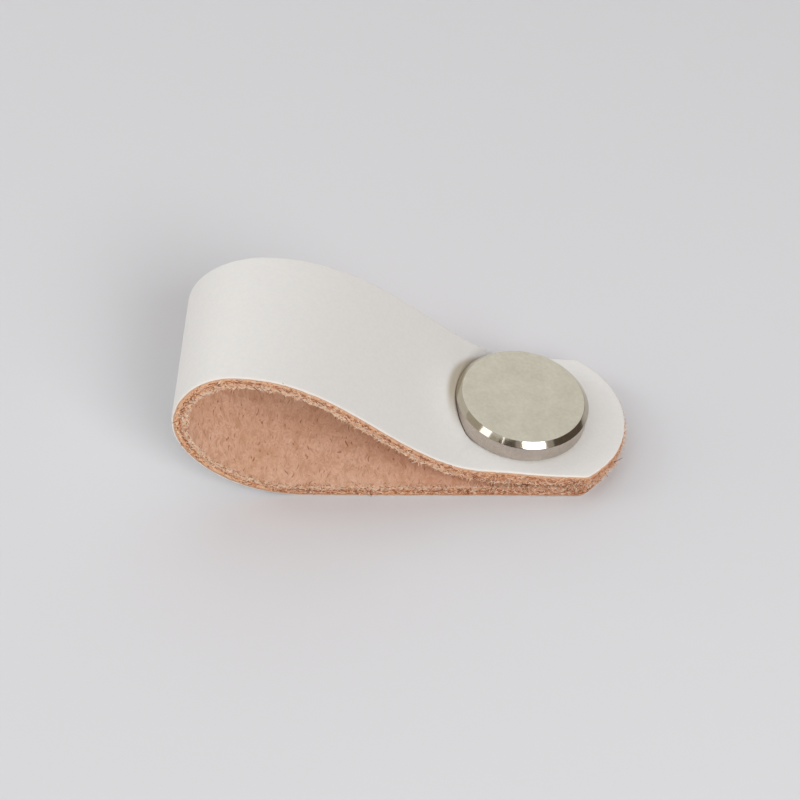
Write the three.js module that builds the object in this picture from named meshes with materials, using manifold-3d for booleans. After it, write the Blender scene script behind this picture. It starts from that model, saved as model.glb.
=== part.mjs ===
// Leather strap pull: one strip of coated leather, folded into a loop and held by a turned steel button.
// The pull lies on its mounting face. Millimetres, +Z up, +X from the nose of the loop to the strap's ends,
// Y across the strap with the front edge at -Y. The origin is on the mounting face, under the pull's middle.

import * as THREE from 'three';
import { mergeVertices } from 'three/addons/utils/BufferGeometryUtils.js';
import Module from 'manifold-3d';

// Strap: the leather strip
const pullLength = 82;
const strapWidth = 30;
const leatherThickness = 2.6;
const endRise = 7.7;
const endCornerRadius = 2;
const tipClearance = 0.2;
const lowerEndSetback = 0.8;

// Strap: the fold, seen from the side
const heelFromNose = 22.8;
const noseHeight = 18.6;
const heelReach = 14;
const noseLowerReach = 8.2;
const upperLayerSlope = 0.053;

// Strap: the loop is a little twisted, so its two long edges roll over at different places
const frontCrownHeight = 31.2;
const frontCrownFromNose = 11.5;
const frontNoseUpperReach = 6.6;
const frontCrownReach = 6.2;
const frontSlopeReach = 20.2;
const frontSeatReach = 19.3;
const frontSeatRun = 23.3;
const backCrownHeight = 31.9;
const backCrownFromNose = 15.3;
const backNoseUpperReach = 8.2;
const backCrownReach = 7.5;
const backSlopeReach = 22.9;
const backSeatReach = 12.8;
const backSeatRun = 19.5;

// Button: a disc with a chamfered rim on a tapped barrel
const buttonDiameter = 25;
const buttonThickness = 4.2;
const buttonChamfer = 1;
const buttonEdgeBreak = 0.2;
const buttonToTip = 19.5;
const buttonLean = 7;
const buttonRimPress = 0.1;
const barrelDiameter = 8;
const barrelRecess = 0.4;
const threadMinorDiameter = 3.3;
const threadDepthInDisc = 1.4;
const drillPointAngle = 118;

// Fit between the button and the strap
const seatClearance = 0.3;
const holeClearance = 0.3;
const pressSteepness = 1;
const pressLip = 1.3;
const pressRounding = 1;
const seatBlendInside = 3;
const seatBlendOutside = 1;

// Fineness of the curves
const cornerSteps = 3;
const endArcSteps = 5;
const foldSteps = [5, 9, 9, 26, 16];
const roundSteps = 48;

const degrees = Math.PI / 180;
const halfWidth = strapWidth / 2;
const noseX = -pullLength / 2;
const tipX = pullLength / 2;
const upperTipHeight = 2 * leatherThickness + tipClearance;
const upperLayerHeight = (fromTip) => upperTipHeight + upperLayerSlope * fromTip;

// Plan of a strap end: a wide arc, joined to each long edge by a small rounded corner
const endArcRadius = (halfWidth ** 2 + endRise ** 2) / (2 * endRise);
const cornerY = halfWidth - endCornerRadius;
const cornerFromArcCentre = Math.sqrt((endArcRadius - endCornerRadius) ** 2 - cornerY ** 2);
const cornerAngle = Math.atan2(cornerY, cornerFromArcCentre);

// Points of one strap end, from its front corner round to its back corner. Inset is how far
// the cut lies behind the tip of the strap.
function strapEndOutline() {
  const half = [];
  for (let step = 0; step < cornerSteps; step++) {
    const angle = THREE.MathUtils.lerp(Math.PI / 2, cornerAngle, step / cornerSteps);
    half.push({
      inset: endArcRadius - cornerFromArcCentre - endCornerRadius * Math.cos(angle),
      y: cornerY + endCornerRadius * Math.sin(angle),
    });
  }
  for (let step = 0; step <= endArcSteps; step++) {
    const angle = cornerAngle * (1 - step / endArcSteps);
    half.push({ inset: endArcRadius * (1 - Math.cos(angle)), y: endArcRadius * Math.sin(angle) });
  }
  const front = half.map(({ inset, y }) => ({ inset, y: -y }));
  const back = half.slice(0, -1).reverse();
  return [...front, ...back];
}

// Side view of the grain face at one place across the strap: five stretches, from the lower tip
// along the mounting face, up the heel, round the nose, down the slope and out to the upper tip
function foldProfile(y) {
  const across = (y + halfWidth) / strapWidth;
  const blend = (front, back) => THREE.MathUtils.lerp(front, back, across);
  const seatRun = blend(frontSeatRun, backSeatRun);
  const lowerTip = new THREE.Vector2(tipX - lowerEndSetback, 0);
  const heel = new THREE.Vector2(noseX + heelFromNose, 0);
  const nose = new THREE.Vector2(noseX, noseHeight);
  const crown = new THREE.Vector2(
    noseX + blend(frontCrownFromNose, backCrownFromNose),
    blend(frontCrownHeight, backCrownHeight),
  );
  const seat = new THREE.Vector2(tipX - seatRun, upperLayerHeight(seatRun));
  const upperTip = new THREE.Vector2(tipX, upperTipHeight);
  const downSlope = new THREE.Vector2(1, -upperLayerSlope).normalize();
  const beyond = (point, x, z) => new THREE.Vector2(point.x + x, point.y + z);
  const seatReach = blend(frontSeatReach, backSeatReach);
  return [
    new THREE.LineCurve(lowerTip, heel),
    new THREE.CubicBezierCurve(heel, beyond(heel, -heelReach, 0), beyond(nose, 0, -noseLowerReach), nose),
    new THREE.CubicBezierCurve(
      nose,
      beyond(nose, 0, blend(frontNoseUpperReach, backNoseUpperReach)),
      beyond(crown, -blend(frontCrownReach, backCrownReach), 0),
      crown,
    ),
    new THREE.CubicBezierCurve(
      crown,
      beyond(crown, blend(frontSlopeReach, backSlopeReach), 0),
      beyond(seat, -seatReach * downSlope.x, -seatReach * downSlope.y),
      seat,
    ),
    new THREE.LineCurve(seat, upperTip),
  ];
}

// The button leans towards the strap's ends, because the rising loop lifts its other side.
// The low side of its rim is pressed a little into the upper layer.
const buttonRadius = buttonDiameter / 2;
const lean = buttonLean * degrees;
const lowRimHeight = upperLayerHeight(buttonToTip - buttonRadius) - buttonRimPress;
const buttonHeight = lowRimHeight + buttonRadius * Math.tan(lean);
const buttonAxis = new THREE.Vector3(Math.sin(lean), 0, Math.cos(lean));
const buttonSeat = new THREE.Vector3(tipX - buttonToTip, 0, buttonHeight);

function smoothMinimum(a, b, rounding) {
  const overlap = Math.max(rounding - Math.abs(a - b), 0) / rounding;
  return Math.min(a, b) - (overlap ** 2 * rounding) / 4;
}

// Leather that would stand above the disc's underside is pressed down by it. Past a narrow lip
// round the rim the leather rises again at its steepest, until it meets the free run of the loop.
// Well inside the rim it lies flat against the disc.
function pressUnderButton(point) {
  const fromSeat = point.clone().sub(buttonSeat);
  const height = fromSeat.dot(buttonAxis);
  const radius = fromSeat.addScaledVector(buttonAxis, -height).length();
  const ceiling = pressSteepness * Math.max(radius - buttonRadius - pressLip, 0) - seatClearance;
  const pressed = smoothMinimum(height, ceiling, pressRounding);
  const blendStart = buttonRadius - seatBlendInside;
  const blendEnd = buttonRadius + seatBlendOutside;
  const free = THREE.MathUtils.smoothstep(radius, blendStart, blendEnd);
  const seated = THREE.MathUtils.lerp(-seatClearance, pressed, free);
  return point.clone().addScaledVector(buttonAxis, seated - height);
}

// Grain face: stretch counts the five stretches of the fold, along runs from 0 to 1 in one of them
function grainPoint(stretch, along, y) {
  const { x, y: z } = foldProfile(y)[stretch].getPoint(along);
  const point = new THREE.Vector3(x, y, z);
  const isUpperLayer = stretch >= 3;
  return isUpperLayer ? pressUnderButton(point) : point;
}

// Outward normal of the grain face
function grainNormal(stretch, along, y) {
  const step = 0.001;
  const before = Math.max(along - step, 0);
  const after = Math.min(along + step, 1);
  const forwards = grainPoint(stretch, after, y).sub(grainPoint(stretch, before, y));
  const sideways = grainPoint(stretch, along, y + step).sub(grainPoint(stretch, along, y - step));
  return forwards.cross(sideways).normalize();
}

// Part of a stretch, from 0 to 1, that is left where the strap's end is cut round
function keptPart(stretch, { inset, y }) {
  const { v1, v2 } = foldProfile(y)[stretch];
  const isLowerEnd = stretch === 0;
  const isUpperEnd = stretch === foldSteps.length - 1;
  if (isLowerEnd) return [inset / (v1.x - v2.x), 1];
  if (isUpperEnd) return [0, 1 - inset / (v2.x - v1.x)];
  return [0, 1];
}

// A row of points for each step along the fold, on the grain face and on the flesh face behind it
function strapRows() {
  const outline = strapEndOutline();
  const grainRows = [];
  const fleshRows = [];
  foldSteps.forEach((steps, stretch) => {
    const firstStep = stretch === 0 ? 0 : 1;
    for (let step = firstStep; step <= steps; step++) {
      const grain = [];
      const flesh = [];
      for (const place of outline) {
        const along = THREE.MathUtils.lerp(...keptPart(stretch, place), step / steps);
        const point = grainPoint(stretch, along, place.y);
        grain.push(point);
        flesh.push(point.clone().addScaledVector(grainNormal(stretch, along, place.y), -leatherThickness));
      }
      grainRows.push(grain);
      fleshRows.push(flesh);
    }
  });
  return { grainRows, fleshRows };
}

// Closed strip of the two faces, the two long cut edges and the two cut ends
function strapGeometry() {
  const { grainRows, fleshRows } = strapRows();
  const rows = grainRows.length;
  const columns = grainRows[0].length;
  const positions = [...grainRows.flat(), ...fleshRows.flat()].flatMap((point) => point.toArray());
  const grain = (row, column) => row * columns + column;
  const flesh = (row, column) => rows * columns + row * columns + column;
  const indices = [];
  const quad = (a, b, c, d) => indices.push(a, b, c, a, c, d);
  for (let row = 0; row < rows - 1; row++) {
    for (let column = 0; column < columns - 1; column++) {
      quad(grain(row, column), grain(row + 1, column), grain(row + 1, column + 1), grain(row, column + 1));
      quad(flesh(row, column), flesh(row, column + 1), flesh(row + 1, column + 1), flesh(row + 1, column));
    }
    const last = columns - 1;
    quad(grain(row, 0), flesh(row, 0), flesh(row + 1, 0), grain(row + 1, 0));
    quad(grain(row, last), grain(row + 1, last), flesh(row + 1, last), flesh(row, last));
  }
  for (let column = 0; column < columns - 1; column++) {
    const last = rows - 1;
    quad(grain(0, column), grain(0, column + 1), flesh(0, column + 1), flesh(0, column));
    quad(grain(last, column), flesh(last, column), flesh(last, column + 1), grain(last, column + 1));
  }
  const geometry = new THREE.BufferGeometry();
  geometry.setAttribute('position', new THREE.Float32BufferAttribute(positions, 3));
  geometry.setIndex(indices);
  return geometry;
}

// Turned profile of the button, from the drill point of its thread hole round to the middle of its top.
// Height 0 is the disc's underside, and the barrel ends just short of the mounting face.
const barrelRadius = barrelDiameter / 2;
const barrelLength = (buttonHeight - barrelRecess - barrelRadius * Math.sin(lean)) / Math.cos(lean);

function buttonGeometry() {
  const boreRadius = threadMinorDiameter / 2;
  const drillPoint = boreRadius / Math.tan((drillPointAngle / 2) * degrees);
  const profile = [
    [0, threadDepthInDisc + drillPoint],
    [boreRadius, threadDepthInDisc],
    [boreRadius, -barrelLength],
    [barrelRadius - buttonEdgeBreak, -barrelLength],
    [barrelRadius, buttonEdgeBreak - barrelLength],
    [barrelRadius, 0],
    [buttonRadius - buttonEdgeBreak, 0],
    [buttonRadius, buttonEdgeBreak],
    [buttonRadius, buttonThickness - buttonChamfer],
    [buttonRadius - buttonChamfer, buttonThickness],
    [0, buttonThickness],
  ].map(([radius, height]) => new THREE.Vector2(radius, height));
  const geometry = new THREE.LatheGeometry(profile, roundSteps);
  geometry.rotateX(Math.PI / 2);
  return placeOnButtonAxis(geometry);
}

// Turns a shape built on the Z axis to the button's axis, and moves its height 0 to the disc's underside
function placeOnButtonAxis(geometry) {
  geometry.rotateY(lean);
  return geometry.translate(buttonSeat.x, buttonSeat.y, buttonSeat.z);
}

// Punched hole: one clear hole through both layers, in line with the barrel
function holeGeometry() {
  const radius = barrelRadius + holeClearance;
  const reachPastLayers = 4 * buttonHeight;
  const geometry = new THREE.CylinderGeometry(radius, radius, reachPastLayers, roundSteps / 2);
  geometry.rotateX(Math.PI / 2);
  return placeOnButtonAxis(geometry);
}

const wasm = await Module();
wasm.setup();

function toSolid(geometry) {
  const bare = geometry.clone();
  bare.deleteAttribute('normal');
  bare.deleteAttribute('uv');
  const merged = mergeVertices(bare);
  return new wasm.Manifold(new wasm.Mesh({
    numProp: 3,
    vertProperties: new Float32Array(merged.attributes.position.array),
    triVerts: new Uint32Array(merged.index.array),
  }));
}

function toGeometry(solid) {
  const { vertProperties, triVerts } = solid.getMesh();
  const geometry = new THREE.BufferGeometry();
  geometry.setAttribute('position', new THREE.BufferAttribute(vertProperties, 3));
  geometry.setIndex(new THREE.BufferAttribute(triVerts, 1));
  return geometry;
}

const coatedLeather = new THREE.MeshStandardMaterial({ color: 0xe0dcd8, roughness: 0.55, metalness: 0 });
const satinSteel = new THREE.MeshStandardMaterial({ color: 0xb9b2a2, roughness: 0.35, metalness: 1 });

function namedMesh(name, geometry, material) {
  geometry.computeVertexNormals();
  const mesh = new THREE.Mesh(geometry, material);
  mesh.name = name;
  return mesh;
}

const punchedStrap = toGeometry(toSolid(strapGeometry()).subtract(toSolid(holeGeometry())));

const strapPull = new THREE.Group();
strapPull.add(namedMesh('strap', punchedStrap, coatedLeather));
strapPull.add(namedMesh('button', buttonGeometry(), satinSteel));

export default strapPull;
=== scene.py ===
# %% [markdown]
# # A leather strap pull
# A strip of white-coated leather is folded into a loop. A turned steel button holds its two ends
# together and takes the fixing screw from behind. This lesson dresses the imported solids: the strip
# is laid out flat, folded, given its thickness and its cut edges, and the button is turned from a
# plain disc. The frame comes first, because every piece is placed by it.

import math

import bmesh
import bpy
import numpy as np
from mathutils import Euler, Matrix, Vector, noise


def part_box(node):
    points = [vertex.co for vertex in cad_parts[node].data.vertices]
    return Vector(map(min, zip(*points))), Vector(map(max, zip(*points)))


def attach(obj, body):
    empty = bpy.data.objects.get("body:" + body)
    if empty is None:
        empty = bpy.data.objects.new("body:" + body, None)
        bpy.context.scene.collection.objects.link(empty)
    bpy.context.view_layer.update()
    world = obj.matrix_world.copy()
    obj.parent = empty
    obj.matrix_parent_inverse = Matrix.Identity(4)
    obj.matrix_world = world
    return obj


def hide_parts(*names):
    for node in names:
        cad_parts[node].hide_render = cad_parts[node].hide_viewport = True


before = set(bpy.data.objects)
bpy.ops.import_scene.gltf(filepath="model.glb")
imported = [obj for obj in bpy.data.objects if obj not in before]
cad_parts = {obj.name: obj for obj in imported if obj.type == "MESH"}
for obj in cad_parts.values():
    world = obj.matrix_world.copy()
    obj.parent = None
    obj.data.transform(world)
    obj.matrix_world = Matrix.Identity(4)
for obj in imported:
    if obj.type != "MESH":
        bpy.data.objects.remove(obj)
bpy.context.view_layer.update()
mm = 0.001
print("nodes", sorted(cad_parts))

# %% [markdown]
# The camera is the first thing to settle. It looks down on the pull at the photograph's angle. The
# angle and the distance come from the button's ellipse and from the table line under the strap, so
# only its eye, its aim and its lens are written here.

# %% Camera
camera_elevation = math.radians(46.8)
camera_yaw = 0.0092
camera_distance = 311.6 * mm
camera_target = Vector((-1.0 * mm, 9.28 * mm, 0))
focal_length_px = 1600
picture_width_px = 800
sensor_width = 36

forwards = Vector((-math.sin(camera_yaw), math.cos(camera_yaw), 0))
look = forwards * math.cos(camera_elevation) - Vector((0, 0, math.sin(camera_elevation)))
camera_data = bpy.data.cameras.new("camera")
camera_data.sensor_width = sensor_width
camera_data.lens = focal_length_px * sensor_width / picture_width_px
camera_data.clip_start = 0.01
camera = bpy.data.objects.new("camera", camera_data)
camera.location = camera_target - look * camera_distance
camera.rotation_euler = look.to_track_quat("-Z", "Y").to_euler()
bpy.context.collection.objects.link(camera)
bpy.context.scene.camera = camera
print("lens", round(camera_data.lens, 1), "mm")

# %% [markdown]
# Blender's operators act on whatever is selected, and the loaded nodes still are. A few helpers
# keep each step to the piece in hand: one clears the selection, one names a new piece and settles it
# at the origin, one enters edit mode with nothing selected, and one selects faces or edges by a test.

# %% Helpers for modelling
def deselect_all():
    for item in bpy.context.selected_objects:
        item.select_set(False)


def take(piece):
    """Makes one piece the only selected one, and the active one."""
    deselect_all()
    piece.select_set(True)
    bpy.context.view_layer.objects.active = piece


def made(name):
    """The piece that was just made, with its name, and with its place written into its mesh."""
    piece = bpy.context.object
    piece.name = name
    take(piece)
    bpy.ops.object.transform_apply(location=True, rotation=True, scale=True)
    return piece


def edit(piece, mode="FACE"):
    """Enters edit mode on one piece with nothing selected."""
    take(piece)
    bpy.ops.object.mode_set(mode="EDIT")
    bpy.ops.mesh.select_mode(type=mode)
    bpy.ops.mesh.select_all(action="DESELECT")


def leave_edit():
    bpy.ops.object.mode_set(mode="OBJECT")


def select(piece, parts, test):
    """Selects the faces or the edges that pass a test."""
    shell = bmesh.from_edit_mesh(piece.data)
    for part in getattr(shell, parts):
        part.select_set(bool(test(part)))
    bmesh.update_edit_mesh(piece.data)


def apply_modifier(piece, kind, name, **settings):
    take(piece)
    modifier = piece.modifiers.new(name, kind)
    for key, value in settings.items():
        setattr(modifier, key, value)
    bpy.ops.object.modifier_apply(modifier=modifier.name)


def corners(piece):
    return np.array([vertex.co for vertex in piece.data.vertices])


def move_corners(piece, places):
    piece.data.vertices.foreach_set("co", np.asarray(places, dtype=np.float32).ravel())
    piece.data.update()


def write_attribute(piece, name, values):
    layer = piece.data.attributes.get(name) or piece.data.attributes.new(name, "FLOAT", "POINT")
    layer.data.foreach_set("value", np.asarray(values, dtype=np.float32))


def read_attribute(piece, name):
    values = np.zeros(len(piece.data.vertices), dtype=np.float32)
    piece.data.attributes[name].data.foreach_get("value", values)
    return values


# %% [markdown]
# The strap is one strip of leather about 188 mm long. On the bench it is flat, with both ends cut
# to a wide arc. A grid is the right start, because its rows follow the strip's length and its
# columns its width, and the fold can then carry each row to its place. The columns are closer
# together at the small rounded corners, where the outline turns quickest.

# %% Sizes of the strap
strap_low, strap_high = (np.array(corner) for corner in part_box("strap"))
nose_x = strap_low[0]
tip_x = strap_high[0]
strap_width = 30 * mm
half_width = strap_width / 2
leather = 2.65 * mm
end_rise = 7.7 * mm
end_corner = 2 * mm
edge_rounding = 0.3 * mm
burr_width = 0.75 * mm
end_radius = (half_width**2 + end_rise**2) / (2 * end_rise)
corner_y = half_width - end_corner
corner_from_centre = math.sqrt((end_radius - end_corner) ** 2 - corner_y**2)
corner_angle = math.atan2(corner_y, corner_from_centre)
rows_inside = 620
columns_inside = 40
columns_at_corner = 5
columns_at_burr = 3


def end_inset(y):
    """How far the cut end lies behind the strap's tip, at one place across it."""
    y = abs(y)
    arc_edge = end_radius * math.sin(corner_angle)
    if y <= arc_edge:
        return end_radius - math.sqrt(end_radius**2 - y**2)
    from_corner_centre = min(y - corner_y, end_corner)
    return end_radius - corner_from_centre - math.sqrt(end_corner**2 - from_corner_centre**2)


def column_places():
    """Places across the strap, from the front edge to the back one."""
    arc_edge = end_radius * math.sin(corner_angle)
    angles = np.linspace(math.pi / 2, corner_angle, columns_at_corner, endpoint=False)
    rounded = corner_y + end_corner * np.sin(angles)
    burr_starts = half_width - 1.5 * burr_width
    burr = np.linspace(arc_edge, burr_starts, columns_at_burr, endpoint=False)
    inside = np.linspace(-burr_starts, burr_starts, columns_inside + 1)
    outside = np.concatenate([rounded, burr])
    return np.concatenate([-outside, inside, outside[::-1]])


def row_places(length):
    """Places along one column of the strip, closer together at its two ends."""
    at_end = edge_rounding * np.array([0, 0.07, 0.25, 0.55, 1, 1.8])
    inside = np.linspace(at_end[-1], length - at_end[-1], rows_inside + 1)
    return np.concatenate([at_end[:-1], inside, length - at_end[-2::-1]])


def from_outline(along, y, length):
    """How far a place on the flat strip lies inside its outline."""
    along = np.minimum(along, length - along)
    y = np.abs(y)
    from_end_arc = end_radius - np.hypot((end_radius - along).clip(0), y)
    distance = np.minimum(half_width - y, from_end_arc)
    before_centre = end_radius - corner_from_centre - along
    beside_centre = y - corner_y
    in_corner = (before_centre > 0) & (beside_centre > before_centre * math.tan(corner_angle))
    return np.where(in_corner, end_corner - np.hypot(before_centre, beside_centre), distance).clip(0)


columns = column_places()
rows = len(row_places(1))
print("columns", len(columns), "rows", rows, "end radius", round(end_radius / mm, 1), "mm")

# %% [markdown]
# Seen from the side, the grain face runs along the table, lifts off at the heel, turns round the
# nose, rolls over the crown and comes down to lie on the lower layer. Lines and curves that share
# their directions where they meet give that run. The loop is a little twisted: its front edge rolls
# over nearer the nose than its back edge, so each size of the upper half has a front and a back
# value.

# %% The fold, seen from the side
heel_from_nose = 22.8 * mm
nose_height = 18.6 * mm
heel_reach = 14 * mm
nose_lower_reach = 8.2 * mm
lower_end_setback = 0.8 * mm
layer_slope = 0.053
upper_tip_height = 5.4 * mm
crown_height = (31.2 * mm, 31.9 * mm)
crown_from_nose = (11.5 * mm, 15.3 * mm)
nose_upper_reach = (6.6 * mm, 8.2 * mm)
crown_reach = (6.2 * mm, 7.5 * mm)
slope_reach = (20.2 * mm, 22.9 * mm)
seat_reach = (19.3 * mm, 12.8 * mm)
seat_run = (23.3 * mm, 19.5 * mm)
samples = 240


def curve(start, start_handle, end_handle, end):
    t = np.linspace(0, 1, samples)[:, None]
    return (
        (1 - t) ** 3 * start
        + 3 * (1 - t) ** 2 * t * (start + start_handle)
        + 3 * (1 - t) * t**2 * (end + end_handle)
        + t**3 * end
    )


def side_view(y):
    """The grain face at one place across the strap: its x and z, and the leather's length up to there."""
    across = (y + half_width) / strap_width
    front_to_back = lambda pair: pair[0] + (pair[1] - pair[0]) * across
    run = front_to_back(seat_run)
    lower_tip = np.array([tip_x - lower_end_setback, 0])
    heel = np.array([nose_x + heel_from_nose, 0])
    nose = np.array([nose_x, nose_height])
    crown = np.array([nose_x + front_to_back(crown_from_nose), front_to_back(crown_height)])
    seat = np.array([tip_x - run, upper_tip_height + layer_slope * run])
    upper_tip = np.array([tip_x, upper_tip_height])
    down_slope = np.array([1, -layer_slope]) / math.hypot(1, layer_slope)
    path = np.concatenate([
        np.linspace(lower_tip, heel, samples),
        curve(heel, [-heel_reach, 0], [0, -nose_lower_reach], nose)[1:],
        curve(nose, [0, front_to_back(nose_upper_reach)], [-front_to_back(crown_reach), 0], crown)[1:],
        curve(crown, [front_to_back(slope_reach), 0], -front_to_back(seat_reach) * down_slope, seat)[1:],
        np.linspace(seat, upper_tip, samples)[1:],
    ])
    lengths = np.concatenate([[0], np.cumsum(np.linalg.norm(np.diff(path, axis=0), axis=1))])
    return path, lengths


strap_length = side_view(0)[1][-1]
print("flat strap", round(strap_length / mm, 1), "mm long")

# %% [markdown]
# The button presses the upper layer flat. Its disc leans with the leather, so the pressing works
# along the button's own axis: what would stand above the underside of the disc is pushed down to
# it, and past a narrow lip round the rim the leather is free to rise again.

# %% Pressing the leather under the button
button_radius = 12.5 * mm
button_lean = math.radians(7)
button_to_tip = 19.5 * mm
button_rim_press = 0.1 * mm
low_rim_height = upper_tip_height + layer_slope * (button_to_tip - button_radius) - button_rim_press
button_height = low_rim_height + button_radius * math.tan(button_lean)
button_seat = Vector((tip_x - button_to_tip, 0, button_height))
button_axis = Vector((math.sin(button_lean), 0, math.cos(button_lean)))
seat_point, axis_vector = np.array(button_seat), np.array(button_axis)
seat_gap = 0.06 * mm
press_lip = 0.15 * mm
press_steepness = 2.5
press_rounding = 0.6 * mm
seat_blend_inside = 3 * mm
seat_blend_outside = 1 * mm


def smooth_step(value, low, high):
    share = np.clip((value - low) / (high - low), 0, 1)
    return share * share * (3 - 2 * share)


def height_over_seat(points):
    """Height above the underside of the disc, along the button's axis."""
    return (points - seat_point) @ axis_vector


def press_under_button(points):
    from_seat = points - seat_point
    height = height_over_seat(points)
    radius = np.linalg.norm(from_seat - height[:, None] * axis_vector, axis=1)
    ceiling = press_steepness * np.maximum(radius - button_radius - press_lip, 0) - seat_gap
    overlap = np.maximum(press_rounding - np.abs(height - ceiling), 0) / press_rounding
    pressed = np.minimum(height, ceiling) - overlap**2 * press_rounding / 4
    free = smooth_step(radius, button_radius - seat_blend_inside, button_radius + seat_blend_outside)
    seated = -seat_gap + (pressed + seat_gap) * free
    return points + (seated - height)[:, None] * axis_vector


# %% [markdown]
# No strap is folded quite true. The lower layer lies a little forward of the upper one, most of all
# where it leaves the table, and the upper end reaches a little past the size on paper.

# %% Lay out the strip and fold it
forward_along = (20 * mm, 52 * mm, 80 * mm)
forward_shift = (0, 0.14 * mm, 0)
tip_stretch = 0.3 * mm
tip_stretch_from = 33 * mm


def fold_grain_face():
    """Places of the grain face, by column and row, the length of leather up to each, and more."""
    places = np.zeros((len(columns), rows, 3))
    lengths_along = np.zeros((len(columns), rows))
    distances = np.zeros((len(columns), rows))
    free_heights = np.full((len(columns), rows), -1.0)
    for column, y in enumerate(columns):
        path, lengths = side_view(y)
        inset = end_inset(y)
        along = inset + row_places(lengths[-1] - 2 * inset)
        x = np.interp(along, lengths, path[:, 0])
        z = np.interp(along, lengths, path[:, 1])
        points = np.column_stack([x, y - np.interp(along, forward_along, forward_shift), z])
        upper = along > lengths[-1] / 2
        points[upper, 0] += tip_stretch * smooth_step(points[upper, 0], tip_stretch_from, tip_x)
        free_heights[column, upper] = height_over_seat(points[upper])
        points[upper] = press_under_button(points[upper])
        places[column] = points
        lengths_along[column] = along
        distances[column] = from_outline(along, y, lengths[-1])
    return places, lengths_along, distances, free_heights


deselect_all()
bpy.ops.mesh.primitive_grid_add(x_subdivisions=rows - 1, y_subdivisions=len(columns) - 1, size=1)
strap = made("leather_strap")
flat = corners(strap)
row_of = np.rint((flat[:, 0] + 0.5) * (rows - 1)).astype(int)
column_of = np.rint((flat[:, 1] + 0.5) * (len(columns) - 1)).astype(int)
folded, lengths_along, distances, free_heights = fold_grain_face()
move_corners(strap, folded[column_of, row_of])
write_attribute(strap, "across", columns[column_of])
grids = {"along": lengths_along, "from_outline": distances, "free_height": free_heights}
for name, values in grids.items():
    write_attribute(strap, name, values[column_of, row_of])
print("folded", len(flat), "corners")

# %% [markdown]
# One attribute, run, counts the way round the strip's outline. The fibres of the cut edge will
# follow it: out along the front edge, round the upper end, back along the back edge, and round the
# lower end.

# %% Count the way round the outline
last_row, last_column = rows - 1, len(columns) - 1
run = np.zeros(len(flat))
on_front, on_back = column_of == 0, column_of == last_column
on_lower, on_upper = row_of == 0, row_of == last_row
along_of, across_of = read_attribute(strap, "along"), read_attribute(strap, "across")
run[on_lower] = 2 * strap_length + 2 * strap_width + half_width - across_of[on_lower]
run[on_back] = 2 * strap_length + strap_width - along_of[on_back]
run[on_upper] = strap_length + half_width + across_of[on_upper]
run[on_front] = along_of[on_front]
write_attribute(strap, "run", run)

# %% [markdown]
# A punch makes one clear hole through both layers for the button's barrel. The faces that lie
# inside the hole are deleted from the sheet, and the ragged edge that is left is drawn onto a true
# circle round the barrel. The sheet has no thickness yet, so the walls of the hole come with it
# later.

# %% Punch the holes
barrel_radius = 4 * mm
hole_radius = barrel_radius + 0.2 * mm
hole_clear = hole_radius + 1 * mm


def from_barrel(point):
    """A point's offset from the barrel's axis, square to it."""
    offset = Vector(point) - button_seat
    return offset - button_axis * offset.dot(button_axis)


edit(strap)
select(strap, "faces", lambda face: from_barrel(face.calc_center_median()).length < hole_radius)
bpy.ops.mesh.delete(type="FACE")
shell = bmesh.from_edit_mesh(strap.data)
hole_corners = 0
for vertex in shell.verts:
    offset = from_barrel(vertex.co)
    if vertex.is_boundary and offset.length < hole_clear:
        vertex.co += offset.normalized() * (hole_radius - offset.length)
        hole_corners += 1
bmesh.update_edit_mesh(strap.data)
leave_edit()
print("hole corners", hole_corners)

# %% [markdown]
# The leather will be squeezed up against the side of the disc that faces the loop. The faces there
# are divided finer than the rest, so that the squeezed lip comes out round.

# %% Divide the leather beside the button
ring_inside = button_radius - 0.5 * mm
ring_outside = button_radius + 1.7 * mm
upper_layer_from = 4 * mm


def beside_button(face):
    middle = face.calc_center_median()
    offset = from_barrel(middle)
    return middle.z > upper_layer_from and offset.x < 0 and ring_inside < offset.length < ring_outside


edit(strap)
select(strap, "faces", beside_button)
bpy.ops.mesh.subdivide(number_cuts=2)
leave_edit()
print("corners with the finer ring", len(strap.data.vertices))

# %% [markdown]
# The sheet now gets the leather's thickness, from the grain face inwards. Solidify does this evenly
# and gives the flesh face and the cut edge material slots of their own.

# %% Give the leather its thickness
grain_corners = len(strap.data.vertices)
for slot_name in ("white coat", "cut edge", "flesh side"):
    strap.data.materials.append(bpy.data.materials.new(slot_name))
apply_modifier(strap, "SOLIDIFY", "thickness", thickness=leather, offset=-1, use_even_offset=True,
               material_offset=2, material_offset_rim=1)
places = corners(strap)
inwards = places[grain_corners:] - places[:grain_corners]
inwards /= np.linalg.norm(inwards, axis=1)[:, None]
print("grain corners", grain_corners)

# %% [markdown]
# The disc is screwed down hard into soft leather. On the side of the rising loop the leather swells
# up round it and hides the lower part of its wall. Over part of that side it rolls over into a
# rounded lip, and over the rest it only touches the wall. Further round it is held up just
# under the rim. Only the grain face does this, so its corners are moved along the button's axis,
# from the height that they would have if free, and the places next to the rim are drawn up to it.
# Two shares are written for the white coat as well: painted shade on the rolled lip, tinted by a
# painted reflection of the steel, and a thin painted shadow where the leather meets the wall.

# %% Let the leather swell against the button
swell_height = 1.6 * mm
swell_direction = math.radians(168)
swell_half_angle = math.radians(72)
swell_reach = 4 * mm
held_half_angles = (math.radians(85), math.radians(140))
held_reach = 4.5 * mm
roll_direction = math.radians(150)
roll_half_angles = (math.radians(25), math.radians(65))
contact_shadow_half_angles = (math.radians(42), math.radians(66))
lip_drop = 0.36 * mm
flat_lip_drop = 0.12 * mm
lip_width = 1.4 * mm
rim_gap = 0.03 * mm
rim_overlap = 0.16 * mm
rim_remap = 0.5 * mm
rim_tuck = 0.3
held_clear = seat_gap + 0.04 * mm
disc_shade_reach = (1 * mm, 2.3 * mm)
button_reach = 22 * mm
deepest_press = 3 * mm
button_side = np.array([math.cos(button_lean), 0, -math.sin(button_lean)])


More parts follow.
